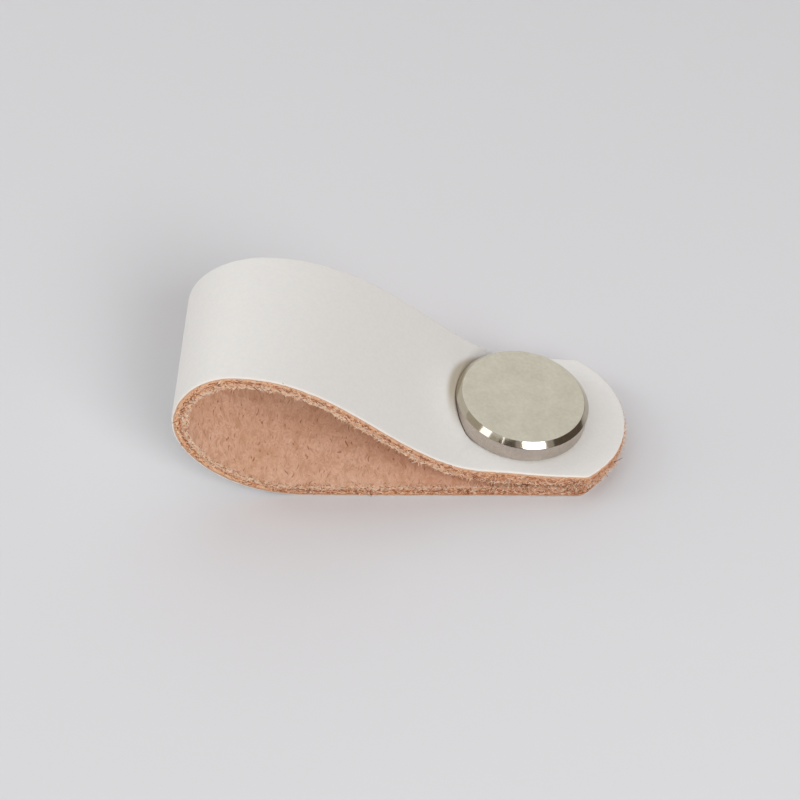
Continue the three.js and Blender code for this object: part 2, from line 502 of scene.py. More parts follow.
def lie_against_button(points, free_height):
    """Where the grain face lies round the disc, from its height if nothing pressed it."""
    from_seat = points - seat_point
    flat_offset = from_seat - (from_seat @ axis_vector)[:, None] * axis_vector
    radius = np.linalg.norm(flat_offset, axis=1)
    beyond = radius - button_radius

    def turn_from(direction):
        turn = np.arctan2(flat_offset[:, 1], flat_offset @ button_side) - direction
        return np.abs((turn + math.pi) % (2 * math.pi) - math.pi)

    def near_disc(reach):
        return np.exp(-((beyond.clip(0) / reach) ** 2))

    turn = turn_from(swell_direction)
    rolled = 1 - smooth_step(turn_from(roll_direction), *roll_half_angles)
    swell = swell_height * (1 - smooth_step(turn, 0, swell_half_angle))
    free = free_height + swell * near_disc(swell_reach)
    held_up = (1 - smooth_step(turn, *held_half_angles)) * near_disc(held_reach)
    free = free + (-held_clear - free).clip(0) * held_up
    free = free - (1 - rolled) * (lip_drop - flat_lip_drop) * near_disc(swell_reach)
    remapped = np.interp(beyond, (-rim_overlap, 0, rim_remap), (rim_tuck * rim_gap, rim_gap, rim_remap))
    near_rim = (beyond > -rim_overlap) & (beyond < rim_remap)
    moved = np.where(near_rim, beyond + (remapped - beyond) * smooth_step(free, 0, 0.3 * mm), beyond)
    lip_here = flat_lip_drop + (lip_drop - flat_lip_drop) * rolled
    lip = lip_here * (1 - (moved / lip_width).clip(0, 1)) ** 2
    blend = smooth_step(radius, button_radius - seat_blend_inside, button_radius + seat_blend_outside)
    height = -seat_gap + (np.minimum(free, -seat_gap) + seat_gap) * blend
    height += np.where(moved > 0, (free - lip + seat_gap).clip(0), 0)
    # Share of painted shade on the rolled lip, tinted by a painted reflection of the steel.
    disc_shade = rolled * (1 - smooth_step(moved, *disc_shade_reach))
    # Share of a thin painted shadow where the leather meets the disc's wall.
    contact_shadow = (1 - rolled) * (1 - smooth_step(turn, *contact_shadow_half_angles)) * (beyond < swell_reach)
    moved_to = seat_point + flat_offset * ((button_radius + moved) / radius)[:, None]
    return moved_to + height[:, None] * axis_vector, disc_shade, contact_shadow


grain = places[:grain_corners]
upper_near_seat = read_attribute(strap, "free_height") > -deepest_press
free_height = read_attribute(strap, "free_height")[:grain_corners]
from_seat = np.linalg.norm(grain - seat_point, axis=1)
round_button = np.flatnonzero(upper_near_seat[:grain_corners] & (from_seat < button_reach))
disc_shade, contact_shadow = np.zeros(len(places)), np.zeros(len(places))
lying = lie_against_button(grain[round_button], free_height[round_button])
grain[round_button], disc_shade[round_button], contact_shadow[round_button] = lying
write_attribute(strap, "disc_shade", disc_shade)
write_attribute(strap, "contact_shadow", contact_shadow)
print("corners round the button", len(round_button))

# %% [markdown]
# The flesh face repeats the step that the disc presses into the grain face. Leather is soft and
# thick, so on its back such a step is only a gentle bend. The flesh round the barrel is laid on the
# lower layer, and the flesh corners out to the loop's slope are selected and smoothed.

# %% Soften the flesh side under the rim
close_within = (button_radius - 4.5 * mm, button_radius - 0.5 * mm)
layer_gap = 0.06 * mm
soften_inside = 5 * mm
soften_outside = 8 * mm
soften_border = 1.3 * mm
soften_passes = 260
from_axis = np.linalg.norm(np.cross(places - seat_point, axis_vector), axis=1)
under_disc = (np.arange(len(places)) >= grain_corners) & (places[:, 0] < button_seat.x) & upper_near_seat
lowered = (places[:, 2] - leather - layer_gap).clip(0) * under_disc
lowered *= 1 - smooth_step(from_axis, *close_within)
places[:, 2] -= lowered
move_corners(strap, places)
soft = under_disc & (read_attribute(strap, "from_outline") > soften_border)
soft &= (from_axis > button_radius - soften_inside) & (from_axis < button_radius + soften_outside)
edit(strap, "VERT")
under_rim = bmesh.from_edit_mesh(strap.data)
for corner in under_rim.verts:
    corner.select = bool(soft[corner.index])
under_rim.select_flush_mode()
bmesh.update_edit_mesh(strap.data)
bpy.ops.mesh.vertices_smooth(factor=0.5, repeat=soften_passes)
leave_edit()
places = corners(strap)
grain = places[:grain_corners]
print("corners softened", int(soft.sum()), "lowered by up to", round(lowered.max() / mm, 2), "mm")

# %% [markdown]
# A die rolls the grain side of the cut over, so the corners of the grain face nearest to its
# outline are lowered along a quarter circle. Beside the button, where the leather is squeezed, the
# border also stands up by a hair. The depth attribute then counts from the grain face, 0, to the
# flesh, 1.

# %% Round and flare the border of the grain face
flare_height = 0.04 * mm
flare_from_x = (-15 * mm, 0)
flare_reach = 4 * mm
back_flare = 0.3
outline_of_grain = read_attribute(strap, "from_outline")[:grain_corners]
across_grain = read_attribute(strap, "across")[:grain_corners]
flare = flare_height * smooth_step(grain[:, 0], *flare_from_x)
flare *= 1 - smooth_step(outline_of_grain, 0, flare_reach)
flare *= back_flare + (1 - back_flare) * (1 - smooth_step(across_grain, -5 * mm, 5 * mm))
flare *= smooth_step(grain[:, 2], 0, 0.8 * mm)
before_round = (edge_rounding - outline_of_grain).clip(0, edge_rounding)
drop = edge_rounding * (1 - np.sqrt((1 - (before_round / edge_rounding) ** 2).clip(0)))
grain += inwards * (drop - flare)[:, None]
move_corners(strap, places)
depth = np.ones(len(places))
depth[:grain_corners] = drop / leather
write_attribute(strap, "depth", depth)
print("most flare", round(flare.max() / mm, 2), "mm")

# %% [markdown]
# The cut edge is one tall face so far. Every edge that crosses it, from the grain side to the flesh
# side, is divided, and this gives it narrow rows that can be roughened.

# %% Divide the cut edge into rows
edge_rows = 10
edit(strap, "EDGE")
depth_layer = bmesh.from_edit_mesh(strap.data).verts.layers.float["depth"]
select(strap, "edges", lambda edge: abs(edge.verts[0][depth_layer] - edge.verts[1][depth_layer]) > 0.5)
bpy.ops.mesh.subdivide(number_cuts=edge_rows - 1)
leave_edit()
print("strap corners", len(strap.data.vertices), "faces", len(strap.data.polygons))

# %% [markdown]
# The die leaves the cut edge uneven. The firm grain half stays straight, and the loose flesh half
# wanders more and stands up in a low, lumpy burr, with a broken crease between the two. Noise moves
# the corners of the cut by more the nearer they are to the flesh side, and raises the border of the
# flesh face.

# %% Roughen the cut edge and raise the burr
cut_roughness = 0.2 * mm
grain_side_roughness = 0.012 * mm
crease_depth = 0.09 * mm
crease_place = 0.54
crease_width = 0.12
burr_height = 0.2 * mm
cut_lumps = (1.1 * mm, 0.45 * mm)
burr_lumps = (0.5 * mm, 1.4 * mm)


def lumps(place, scale):
    """Noise from -1 to 1 with lumps of about one scale."""
    return noise.noise(Vector(place) / scale)


depth = read_attribute(strap, "depth")
outline_distance = read_attribute(strap, "from_outline")
is_edge = np.zeros(len(depth), dtype=bool)
is_flesh = np.zeros(len(depth), dtype=bool)
for polygon in strap.data.polygons:
    if polygon.material_index == 1:
        is_edge[list(polygon.vertices)] = True
    elif polygon.material_index == 2:
        is_flesh[list(polygon.vertices)] = True
places = corners(strap)
directions = np.array([vertex.normal for vertex in strap.data.vertices])
for index in np.flatnonzero(is_edge):
    if from_barrel(places[index]).length < hole_clear:
        continue
    unevenness = lumps(places[index], cut_lumps[0]) + 0.7 * lumps(places[index], cut_lumps[1])
    crease = math.exp(-((depth[index] - crease_place) / crease_width) ** 2)
    move = unevenness * (grain_side_roughness + cut_roughness * depth[index] ** 2) - crease_depth * crease
    places[index] += directions[index] * move
for index in np.flatnonzero(is_flesh & (outline_distance < burr_width)):
    if from_barrel(places[index]).length < hole_clear:
        continue
    share = 1 - outline_distance[index] / burr_width
    height = 0.35 + lumps(places[index], burr_lumps[0]) + 0.5 * lumps(places[index], burr_lumps[1])
    places[index] += directions[index] * burr_height * share * max(height, -0.2)
places[:, 2] = np.maximum(places[:, 2], 0)
move_corners(strap, places)
take(strap)
bpy.ops.object.shade_smooth_by_angle(angle=math.radians(60))
print("edge corners", int(is_edge.sum()))

# %% [markdown]
# Fibres show all along the cut. One of them is modelled from a cone: a thin hair with a few rings.
# Copies of it are turned, stretched and curled in code, so that each one is a closed body of a few
# faces.

# %% Model one fibre
fibre_rings = 3
deselect_all()
bpy.ops.mesh.primitive_cone_add(vertices=4, radius1=0.8, radius2=0.45, depth=1, location=(0, 0, 0.5))
one_fibre = made("one_fibre")
for ring in range(1, fibre_rings):
    edit(one_fibre)
    bpy.ops.mesh.select_all(action="SELECT")
    bpy.ops.mesh.bisect(plane_co=(0, 0, ring / fibre_rings), plane_no=(0, 0, 1))
    leave_edit()
fibre_shape = corners(one_fibre)
fibre_faces = np.array([list(polygon.vertices) for polygon in one_fibre.data.polygons])
bpy.data.objects.remove(one_fibre)
print("one fibre", len(fibre_shape), "corners", len(fibre_faces), "faces")


# %% [markdown]
# Each fibre needs a root and a direction. The faces of the strap give both: a random point on a
# face is the root, and the face's own directions, along the cut, across it and out of it, are mixed
# for the hair.

# %% Directions on the faces of the strap
draw = np.random.default_rng(11)
fibre_reach = (-15.85 * mm, 16.2 * mm)


def unit(vectors):
    return vectors / np.maximum(np.linalg.norm(vectors, axis=-1, keepdims=True), 1e-12)


def face_frames(material_index):
    """The quads of one material away from the hole: their corners, normals and areas."""
    polygons = [polygon for polygon in strap.data.polygons
                if polygon.material_index == material_index and polygon.loop_total == 4
                and from_barrel(polygon.center).length > hole_clear]
    indices = np.array([list(polygon.vertices) for polygon in polygons])
    normals = np.array([polygon.normal for polygon in polygons])
    areas = np.array([polygon.area for polygon in polygons])
    return indices, normals, areas


final_places = corners(strap)


def roots_on(indices, areas, weights, count):
    """Random points on faces that are chosen by area times weight, with the faces' numbers."""
    chance = areas * weights
    chosen = draw.choice(len(indices), size=count, p=chance / chance.sum())
    shares = draw.random((count, 2, 1))
    quad = final_places[indices[chosen]]
    near = quad[:, 0] + (quad[:, 1] - quad[:, 0]) * shares[:, 0]
    far = quad[:, 3] + (quad[:, 2] - quad[:, 3]) * shares[:, 0]
    return near + (far - near) * shares[:, 1], chosen


def lay_fibres(roots, directions, bends, lengths, thicknesses, curls):
    """Corners of one fibre for each root, curling towards its bend."""
    directions = unit(directions)
    across = unit(np.cross(directions, bends))
    sides = np.cross(across, directions)
    x, y, z = fibre_shape.T
    curl = curls[:, None] * z**2 * lengths[:, None]
    return (
        roots[:, None]
        + directions[:, None] * (z * lengths[:, None])[..., None]
        + sides[:, None] * (x * thicknesses[:, None] + curl)[..., None]
        + across[:, None] * (y * thicknesses[:, None])[..., None]
    )


def fibre_piece(name, shapes, tones):
    """One piece of many fibres. Those that reach through the table or far past the strap are left out."""
    kept = shapes[:, :, 2].min(axis=1) > 0.01 * mm
    y = shapes[:, :, 1]
    kept &= (y.min(axis=1) > fibre_reach[0]) & (y.max(axis=1) < fibre_reach[1])
    shapes, tones = shapes[kept], tones[kept]
    first = (np.arange(len(shapes)) * len(fibre_shape))[:, None, None]
    faces = (first + fibre_faces).reshape(-1, 4)
    mesh = bpy.data.meshes.new(name)
    mesh.from_pydata(shapes.reshape(-1, 3).tolist(), [], faces.tolist())
    piece = bpy.data.objects.new(name, mesh)
    bpy.context.collection.objects.link(piece)
    write_attribute(piece, "tone", np.repeat(tones, len(fibre_shape)))
    mesh.shade_smooth()
    print(name, "fibres", len(shapes), "faces", len(faces))
    return piece


# %% [markdown]
# The cut face itself is a bed of fibres that lie along the strap. They are short, half sunk into
# the face, and lean a little out of it. Towards the flesh side there are more of them, paler and
# more tangled.

# %% Lay the fibres of the cut face
cut_fibre_count = 6400
cut_fibre_lengths = (0.3 * mm, 1 * mm)
cut_fibre_thicknesses = (0.04 * mm, 0.12 * mm)
cut_fibre_sink = 0.03 * mm
seam_begins_x = (2 * mm, 14 * mm)
cream_depths = (0.6, 0.8)
shade_below_z = (0.6 * mm, 2.2 * mm)
indices, normals, areas = face_frames(1)
quad_depths = depth[indices]
face_depths = quad_depths.mean(axis=1)
order = np.argsort(quad_depths, axis=1)
deep = np.take_along_axis(indices, order[:, 2:], axis=1)
shallow = np.take_along_axis(indices, order[:, :2], axis=1)
through = unit(final_places[deep].mean(axis=1) - final_places[shallow].mean(axis=1))
along_cut = unit(np.cross(normals, through))
cut_weights = smooth_step(face_depths, 0.15, 0.4) + 0.05
roots, chosen = roots_on(indices, areas, cut_weights, cut_fibre_count)
root_depths = face_depths[chosen]
drift = np.array([lumps(root, 5 * mm) for root in roots])
leans = (1.6 * drift + draw.normal(0, 0.4 + 0.4 * root_depths**2, cut_fibre_count))[:, None]
lifts = np.abs(draw.normal(0, 0.1 + 0.2 * root_depths[:, None] ** 2, (cut_fibre_count, 1)))
signs = draw.choice([-1, 1], (cut_fibre_count, 1))
cut_shapes = lay_fibres(
    roots - normals[chosen] * cut_fibre_sink,
    along_cut[chosen] * signs + through[chosen] * leans + normals[chosen] * lifts,
    normals[chosen] + through[chosen] * draw.normal(0, 1, (cut_fibre_count, 1)),
    draw.uniform(*cut_fibre_lengths, cut_fibre_count),
    draw.uniform(*cut_fibre_thicknesses, cut_fibre_count),
    draw.normal(0, 0.25, cut_fibre_count),
)
# Fibres in the crease are darkened as painted shade in its groove.
crease_shade_share = np.exp(-(((root_depths - crease_place) / crease_width) ** 2))
cream_share = smooth_step(root_depths, *cream_depths)
cream_share *= 1 - 0.7 * smooth_step(roots[:, 0], *seam_begins_x)
# Fibres near the table are darkened as painted shade, where the lower layer lies in shadow.
near_table_shade = 1 - smooth_step(roots[:, 2], *shade_below_z)
cut_tones = 0.52 + 0.2 * cream_share - 0.2 * crease_shade_share - 0.16 * near_table_shade
cut_tones = (cut_tones + draw.normal(0, 0.36, cut_fibre_count)).clip(0, 1)
cut_fibres = fibre_piece("cut_fibres", cut_shapes, cut_tones)

# %% [markdown]
# The burr on the flesh side is a crumbled, woolly border. Its fibres grow in clumps from both faces
# that meet there and curl in all directions. A few tufts of long ones stand out, and at the strap's
# ends they are longer. Towards the table they are darker, a painted shade on the lower parts of the
# loop, which lie in shadow, and paler at the tip.

# %% Grow the fibres of the burr
burr_fibre_count = 6600
burr_fibre_lengths = (0.2 * mm, 0.6 * mm)
burr_fibre_thicknesses = (0.03 * mm, 0.1 * mm)
burr_fibre_sink = 0.04 * mm
clump_sizes = (1.6 * mm, 0.7 * mm)
burr_seam_x = (6 * mm, 14 * mm)
burr_tip_x = (31 * mm, 36 * mm)
burr_shade_below_z = (5 * mm, 13 * mm)
tuft_count = 26
tuft_radius = 0.55 * mm
flesh_indices, flesh_normals, flesh_areas = face_frames(2)
flesh_border = read_attribute(strap, "from_outline")[flesh_indices].mean(axis=1)
border_indices = np.concatenate([indices, flesh_indices])
border_normals = np.concatenate([normals, flesh_normals])
border_areas = np.concatenate([areas, flesh_areas])
border_weights = np.concatenate([
    smooth_step(face_depths, 0.55, 0.9),
    1.2 - 1.2 * smooth_step(flesh_border, 0.2 * mm, burr_width),
])
border_x = final_places[border_indices].mean(axis=1)[:, 0]
border_weights *= 1 + smooth_step(border_x, *burr_seam_x)
clumps = np.array([lumps(place, clump_sizes[0]) + 0.6 * lumps(place, clump_sizes[1])
                   for place in final_places[border_indices[:, 0]]])
border_weights *= 0.12 + 1.8 * smooth_step(clumps, -0.15, 0.35)
roots, chosen = roots_on(border_indices, border_areas, border_weights, burr_fibre_count)
tufts = roots[draw.choice(burr_fibre_count, tuft_count)]
nearness = np.linalg.norm(roots[:, None] - tufts, axis=2).min(axis=1)
in_tuft = 1 - smooth_step(nearness, 0.3 * tuft_radius, tuft_radius)
at_seam = smooth_step(roots[:, 0], *burr_seam_x)
at_tip = smooth_step(roots[:, 0], *burr_tip_x)
outwards = border_normals[chosen] * (0.3 + 0.5 * in_tuft + 0.15 * at_seam + 0.35 * at_tip)[:, None]
longer = 1 + 0.9 * in_tuft + 0.4 * at_seam + 0.4 * at_tip
burr_shapes = lay_fibres(
    roots - border_normals[chosen] * burr_fibre_sink,
    outwards + unit(draw.normal(0, 1, (burr_fibre_count, 3))),
    draw.normal(0, 1, (burr_fibre_count, 3)),
    draw.uniform(*burr_fibre_lengths, burr_fibre_count) * longer,
    draw.uniform(*burr_fibre_thicknesses, burr_fibre_count),
    draw.normal(0, 0.6, burr_fibre_count),
)
# Burr fibres low on the loop are darkened as painted shade near the table.
near_table_shade = 1 - smooth_step(roots[:, 2], *burr_shade_below_z)
burr_tones = 0.82 - 0.28 * near_table_shade * (1 - at_seam) - 0.3 * at_seam + 0.2 * at_tip
burr_tones = (burr_tones + draw.normal(0, 0.32 + 0.08 * at_seam, burr_fibre_count)).clip(0, 1)
burr_fibres = fibre_piece("burr_fibres", burr_shapes, burr_tones)

# %% [markdown]
# The button is turned from one bar of steel. A cylinder of the disc's size is the start. Its
# underside is inset to the barrel's radius and drawn down, and the end of the barrel is inset to
# the thread's and pushed in. One bevel cuts the wide chamfer, and small ones break the other edges
# as a tool does.

# %% Turn the button
disc_thickness = 4.2 * mm
disc_chamfer = 1 * mm
barrel_recess = 0.4 * mm
barrel_end_height = barrel_recess + barrel_radius * math.sin(button_lean)
barrel_length = (button_height - barrel_end_height) / math.cos(button_lean)
bore_radius = 1.65 * mm
bore_depth_in_disc = 1.4 * mm
drill_point_half_angle = math.radians(59)
drill_point_height = bore_radius / math.tan(drill_point_half_angle)
round_sides = 160
close_to = 0.01 * mm


def at_height(height, radius=None):
    """A test for flat faces at a height, or for edges that run round at a height and a radius."""
    def test(part):
        places = [vertex.co for vertex in part.verts]
        level = all(abs(place.z - height) < close_to for place in places)
        off_radius = [abs(place.xy.length - radius) for place in places] if radius else [0]
        return level and max(off_radius) < close_to
    return test


def draw_out(length):
    bpy.ops.mesh.extrude_region_move(TRANSFORM_OT_translate={"value": (0, 0, length)})


deselect_all()
bpy.ops.mesh.primitive_cylinder_add(vertices=round_sides, radius=button_radius, depth=disc_thickness,
                                    location=(0, 0, disc_thickness / 2))
button = made("steel_button")
edit(button)
select(button, "faces", at_height(0))
bpy.ops.mesh.inset(thickness=button_radius - barrel_radius, depth=0)
draw_out(-barrel_length)
bpy.ops.mesh.inset(thickness=barrel_radius - bore_radius, depth=0)
draw_out(barrel_length + bore_depth_in_disc)
draw_out(drill_point_height)
bpy.ops.mesh.merge(type="CENTER")
leave_edit()


def bevel_ring(height, radius, width, segments=1):
    edit(button, "EDGE")
    select(button, "edges", at_height(height, radius))
    bpy.ops.mesh.bevel(offset=width, segments=segments, affect="EDGES")
    leave_edit()


edge_break = 0.09 * mm
bevel_ring(disc_thickness, button_radius, disc_chamfer)
bevel_ring(disc_thickness, button_radius - disc_chamfer, edge_break, 2)
bevel_ring(disc_thickness - disc_chamfer, button_radius, edge_break, 2)
bevel_ring(0, button_radius, 0.2 * mm, 3)
bevel_ring(-barrel_length, barrel_radius, 0.2 * mm, 2)
bevel_ring(-barrel_length, bore_radius, 0.3 * mm, 1)
print("button faces", len(button.data.polygons))

# %% [markdown]
# The M4 thread inside the barrel is a ridge that climbs 0.7 mm each turn. One tooth of it is drawn
# as a small triangle, and the Screw modifier carries it round the axis. The ridge grows inwards
# from the wall of the bore, so a screw of the real size would meet it.

# %% Cut the thread
thread_pitch = 0.7 * mm
thread_height = 0.28 * mm
thread_turns = 8
deselect_all()
bpy.ops.mesh.primitive_circle_add(vertices=3, radius=thread_height, fill_type="NGON",
                                  location=(bore_radius - 0.1 * mm, 0, -barrel_length + 0.5 * mm),
                                  rotation=(math.pi / 2, math.pi, 0))
thread = made("thread_ridge")
apply_modifier(thread, "SCREW", "climb", axis="Z", screw_offset=thread_pitch, iterations=thread_turns,
               steps=40, render_steps=40, use_merge_vertices=False)
edit(thread, "VERT")
bpy.ops.mesh.select_all(action="SELECT")
bpy.ops.mesh.fill_holes(sides=3)
bpy.ops.mesh.select_all(action="SELECT")
bpy.ops.mesh.normals_make_consistent(inside=False)
leave_edit()
print("thread faces", len(thread.data.polygons))

# %% [markdown]
# The finished button leans seven degrees, because the rising loop lifts the side of the disc that
# faces it. It is joined with its thread, turned about Y and moved to its seat, and its place is
# then written into its mesh, so that its object stays at the origin.

# %% Seat the button
deselect_all()
thread.select_set(True)
button.select_set(True)
bpy.context.view_layer.objects.active = button
bpy.ops.object.join()
button.location = button_seat
button.rotation_euler = Euler((0, button_lean, 0))
take(button)
bpy.ops.object.transform_apply(location=True, rotation=True, scale=True)
bpy.ops.object.shade_smooth_by_angle(angle=math.radians(40))
apply_modifier(button, "WEIGHTED_NORMAL", "flat faces", mode="FACE_AREA", keep_sharp=True)
print("button box", [round(value / mm, 2) for value in corners(button).min(axis=0)],
      [round(value / mm, 2) for value in corners(button).max(axis=0)])

# %% [markdown]
# Materials are built from nodes. One helper fills a node's inputs, where a socket is linked and a
# plain value is written, and one adds a node and fills it. The others are short names for the nodes
# that come back often. Colours are written as they look on a screen, 0 to 255, and are turned into
# Blender's linear values.

# %% Helpers for materials
def linear(red, green, blue):
    """A screen colour, 0 to 255, as linear values."""
    def one(value):
        value /= 255
        return value / 12.92 if value <= 0.04045 else ((value + 0.055) / 1.055) ** 2.4
    return (one(red), one(green), one(blue), 1)


def feed(node, *inputs, **sockets):
    """Fills inputs in order or by name: links a socket, writes a value, leaves None alone."""
    named = [(key.replace("_", " "), value) for key, value in sockets.items()]
    for key, value in list(enumerate(inputs)) + named:
        if isinstance(value, bpy.types.NodeSocket):
            node.id_data.links.new(value, node.inputs[key])
        elif value is not None:
            node.inputs[key].default_value = value
    return node


def add_node(tree, kind, settings=None, *inputs, **sockets):
    node = tree.nodes.new("ShaderNode" + kind)
    for key, value in (settings or {}).items():
        setattr(node, key, value)
    return feed(node, *inputs, **sockets)


def open_material(name, roughness, metallic=0, specular=0.5):
    """A material by its name, cleared. Returns its node tree and its Principled shader."""
    material = bpy.data.materials.get(name) or bpy.data.materials.new(name)
    material.use_nodes = True
    tree = material.node_tree
    tree.nodes.clear()
    shader = add_node(tree, "BsdfPrincipled", Roughness=roughness, Metallic=metallic,
                      Specular_IOR_Level=specular)
    add_node(tree, "OutputMaterial", None, shader.outputs[0])
    return tree, shader


def open_group(name, inputs, outputs):
    """A node group with its inputs' first values. Returns it, its inputs and its output node."""
    group = bpy.data.node_groups.new(name, "ShaderNodeTree")
    for label, value in inputs.items():
        kind = "NodeSocketVector" if isinstance(value, tuple) else "NodeSocketFloat"
        group.interface.new_socket(label, in_out="INPUT", socket_type=kind).default_value = value
    for label in outputs:
        group.interface.new_socket(label, in_out="OUTPUT", socket_type="NodeSocketFloat")
    return group, group.nodes.new("NodeGroupInput").outputs, group.nodes.new("NodeGroupOutput")


def place_group(tree, group, **sockets):
    return add_node(tree, "Group", {"node_tree": group}, **sockets).outputs


def attribute(tree, name):
    return add_node(tree, "Attribute", {"attribute_name": name}).outputs["Fac"]


def object_place(tree):
    return add_node(tree, "TexCoord").outputs["Object"]


def combine(tree, *parts):
    return add_node(tree, "CombineXYZ", None, *parts).outputs[0]


def separate(tree, vector):
    return add_node(tree, "SeparateXYZ", None, vector).outputs


def calculate(tree, operation, *inputs):
    return add_node(tree, "Math", {"operation": operation}, *inputs).outputs[0]


def calculate_vector(tree, operation, *inputs, output="Vector"):
    return add_node(tree, "VectorMath", {"operation": operation}, *inputs).outputs[output]


def times(tree, first, *others):
    for other in others:
        first = calculate(tree, "MULTIPLY", first, other)
    return first


def remap(tree, value, low, high, first=0, last=1, kind="SMOOTHSTEP"):
    """Carries a value from low and high to first and last."""
    node = add_node(tree, "MapRange", {"interpolation_type": kind}, value, low, high, first, last)
    return node.outputs[0]


def mix_colour(tree, share, first, second):
    """From the first colour to the second by a share. Colours are sockets or screen colours."""
    node = add_node(tree, "Mix", {"data_type": "RGBA"}, share)
    colours = [linear(*colour) if isinstance(colour, tuple) else colour for colour in (first, second)]
    return feed(node, *[None] * 6, *colours).outputs[2]


def paint_over(tree, colour, *layers):
    """Mixes further colours over one, each by its share."""
    for share, over in layers:
        colour = mix_colour(tree, share, colour, over)
    return colour


def ramp(tree, value, stops):
    """A colour for each value, from stops of a place and a screen colour."""
    node = add_node(tree, "ValToRGB", None, value)
    elements = node.color_ramp.elements
    while len(elements) < len(stops):
        elements.new(1)
    for element, (place, colour) in zip(elements, stops):
        element.position = place
        element.color = linear(*colour)
    return node.outputs[0]


def bump(tree, height, strength, distance, under=None):
    """Raises the surface by a height. under is a bump that this one adds to."""
    node = add_node(tree, "Bump", Height=height, Strength=strength, Distance=distance, Normal=under)
    return node.outputs[0]


# %% [markdown]
# Leather is made of fibres, and they show in three places: as streaks in the cut edge, as dark
# flecks and nap on the flesh side, and as the faint pores of the grain. All three are marks of
# noise, stretched more or less along one direction, so one node group makes them and each material
# sets its values.

# %% Group: fibre marks
fibre_marks, marks_in, marks_out = open_group(
    "fibre marks",
    {"Place": (0, 0, 0), "Per Metre": (1000, 1000, 1000), "Detail": 3, "From": 0.4, "To": 0.6},
    ("Mask", "Noise"),
)
stretched = calculate_vector(fibre_marks, "MULTIPLY", marks_in["Place"], marks_in["Per Metre"])
marks_noise = add_node(fibre_marks, "TexNoise", Vector=stretched, Scale=1, Detail=marks_in["Detail"],
                       Roughness=0.6).outputs[0]
marks_mask = remap(fibre_marks, marks_noise, marks_in["From"], marks_in["To"])
feed(marks_out, Mask=marks_mask, Noise=marks_noise)


def marks(tree, place, per_metre, low, high, detail=3):
    """Places the group with its values. Returns its outputs."""
    return place_group(tree, fibre_marks, Place=place, Per_Metre=per_metre, Detail=detail,
                       From=low, To=high)


# %% [markdown]
# The grain face has a smooth white coat. Up close it isn't quite flat: shallow pores and a slow
# unevenness break up its soft shine, and its colour wanders by a shade. Along the outline a brighter,
# warmer line is a painted highlight, where the rounded edge catches the lamps. Against the disc the
# lip gets a painted shade, tinted by a painted reflection of the steel, and where it touches the
# disc's wall there is a fine dark line of painted shadow, drawn by the distance from the button's
# own axis.

# %% Material: white coat
coat_tones = (223, 221, 218), (226, 224, 221)
# Painted light is mixed into the coat: a highlight along the rim, shade on the lip beside the disc, and a
# shadow line at the disc's wall.
painted_rim_highlight_tone = (241, 232, 223)
painted_disc_shade_tone = (183, 173, 156)
painted_contact_shadow_tone = (112, 101, 87)
rim_highlight_reach = 0.05 * mm, 0.24 * mm
contact_shadow_reach = button_radius + 0.04 * mm, button_radius + 0.14 * mm
shades_per_metre, pores_per_metre, waves_per_metre = ((count,) * 3 for count in (1400, 2600, 260))

tree, shader = open_material("white coat", roughness=0.5)
place = object_place(tree)
shades = marks(tree, place, shades_per_metre, 0.3, 0.7, 2)["Mask"]
pores = marks(tree, place, pores_per_metre, 0.35, 0.65, 2)
waves = marks(tree, place, waves_per_metre, 0.2, 0.8, 2)
rim_highlight_share = remap(tree, attribute(tree, "from_outline"), *rim_highlight_reach, 1, 0)
off_axis = calculate_vector(tree, "SUBTRACT", place, button_seat)
off_axis = calculate_vector(tree, "CROSS_PRODUCT", off_axis, button_axis)
axis_distance = calculate_vector(tree, "LENGTH", off_axis, output="Value")
contact_shadow_share = remap(tree, axis_distance, *contact_shadow_reach, 1, 0)
colour = paint_over(
    tree, mix_colour(tree, shades, *coat_tones),
    # A painted highlight along the rounded outline of the coat.
    (rim_highlight_share, painted_rim_highlight_tone),
    # Painted shade on the lip beside the disc, tinted by a painted reflection of the steel.
    (attribute(tree, "disc_shade"), painted_disc_shade_tone),
    # A thin painted shadow line where the leather meets the disc's wall.
    (times(tree, contact_shadow_share, attribute(tree, "contact_shadow")), painted_contact_shadow_tone),
)
pore_bump = bump(tree, pores["Mask"], 0.12, 0.04 * mm)
feed(shader, Base_Color=colour, Normal=bump(tree, waves["Noise"], 0.2, 0.1 * mm, under=pore_bump),
     Roughness=remap(tree, pores["Noise"], 0, 1, 0.42, 0.58, "LINEAR"))

# %% [markdown]
# The cut edge shows the section of the hide. From the grain side inwards it goes from the coat's
# white line, brightened as a painted highlight where the rounded edge catches the lamps, through a
# thin grey one to orange-tan fibres with light and dark streaks, with a dark crease at half depth
# whose darkness is painted shade in its groove, and ends in a cream fringe. The depth attribute
# carries the bands, and the run attribute the streaks. Beside the button the section is redder and
# darker, and near the table a painted shade makes it redder and darker, where the lower layer lies
# in shadow.

# %% Material: cut edge
bands = [
    # The first two stops are the coat's white over the rounded grain edge, brightened as a painted
    # highlight.
    (0.00, (244, 234, 224)),
    (0.09, (243, 230, 219)),
    (0.13, (190, 162, 144)),
    (0.18, (226, 176, 140)),
    (0.25, (243, 190, 149)),
    (0.46, (240, 180, 135)),
    # The dark stop at half depth is painted shade in the crease's groove.
    (0.53, (176, 112, 80)),
    (0.60, (218, 162, 126)),
    (0.76, (232, 195, 164)),
    (0.95, (238, 208, 181)),
]
seam_tone = (208, 146, 110)
# Painted shade near the table, where the lower layer lies in shadow.
painted_low_shade_tone = (180, 108, 76)
light_streak_tone = (241, 210, 184)
dark_streak_tone = (150, 92, 66)
streak_share = 0.9
seam_share, low_shade_share = 0.6, 0.62
low_shade_z = 0.3 * mm, 2.6 * mm
coat_ends = 0.16, 0.3
band_wander, band_shift = -0.2, 0.09

